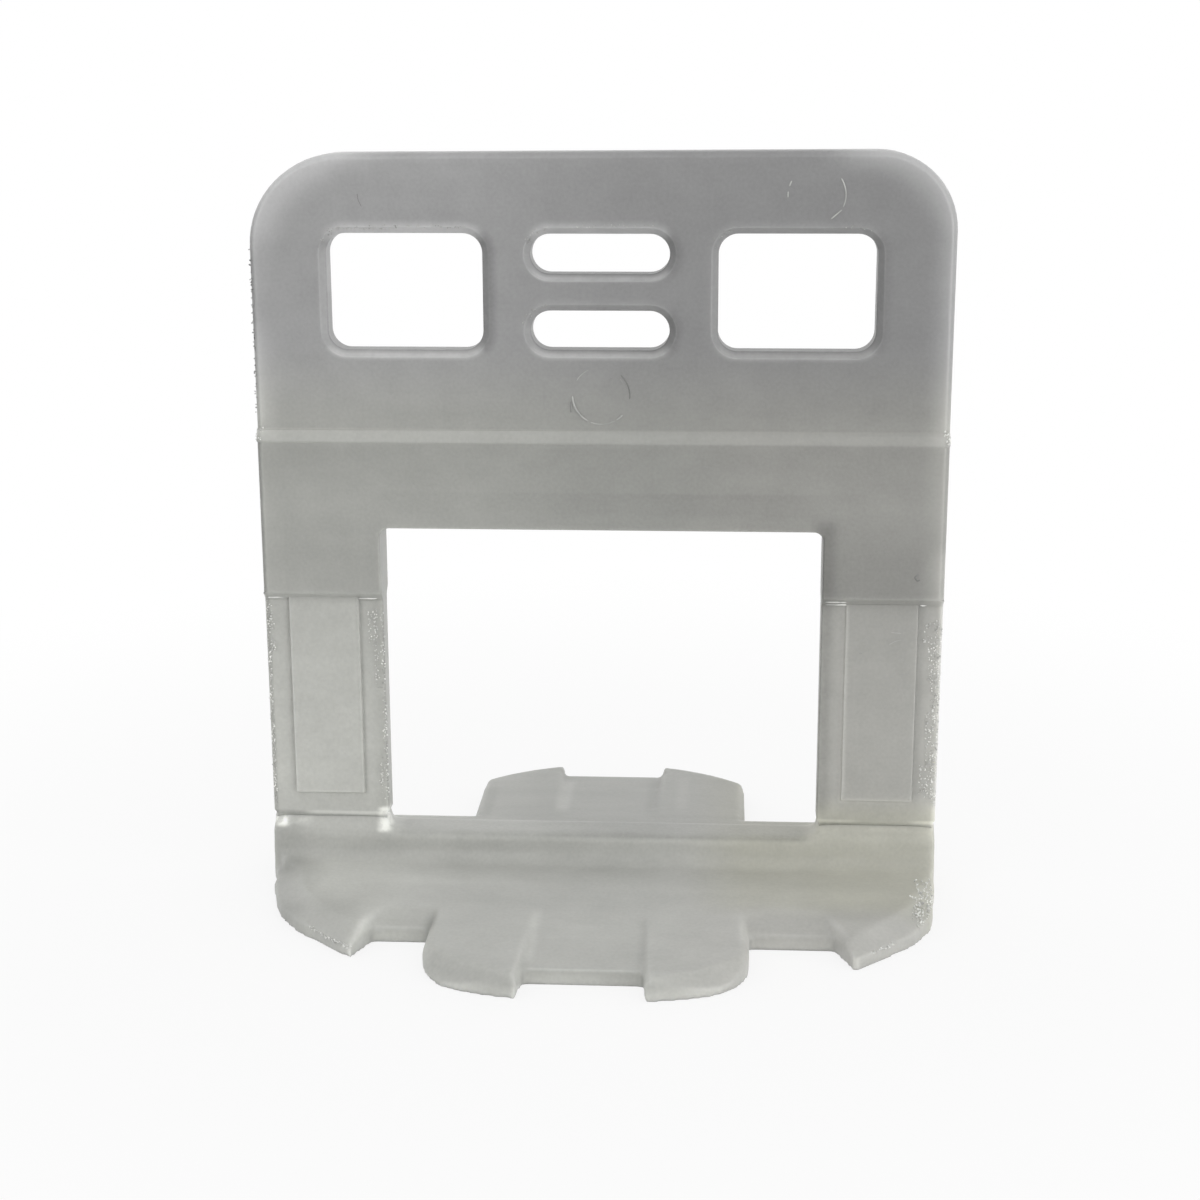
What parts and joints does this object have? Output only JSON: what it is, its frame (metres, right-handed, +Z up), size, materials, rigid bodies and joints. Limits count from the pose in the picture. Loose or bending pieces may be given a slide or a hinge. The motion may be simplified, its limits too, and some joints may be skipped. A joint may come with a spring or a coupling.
{
  "type": "tile leveling clip",
  "caption": "Moulded plastic clip that sets the joint between tiles and pulls them level: a slotted tab with a wedge window on thin break-off legs over a lobed oval foot.",
  "frame": {"origin": "middle of the bounding box, on the underside of the foot", "axes": "+X to the right seen from the front, along the width of the tab; -Y is the front face, the one with the plain window edge; +Z up, from the foot to the top of the tab"},
  "size_m": [0.043, 0.0374, 0.047],
  "materials": {
    "natural_plastic": "satin, slightly translucent natural polypropylene, pale cool grey"
  },
  "bodies": {
    "root": {"clip": "natural_plastic"}
  },
  "joints": []
}
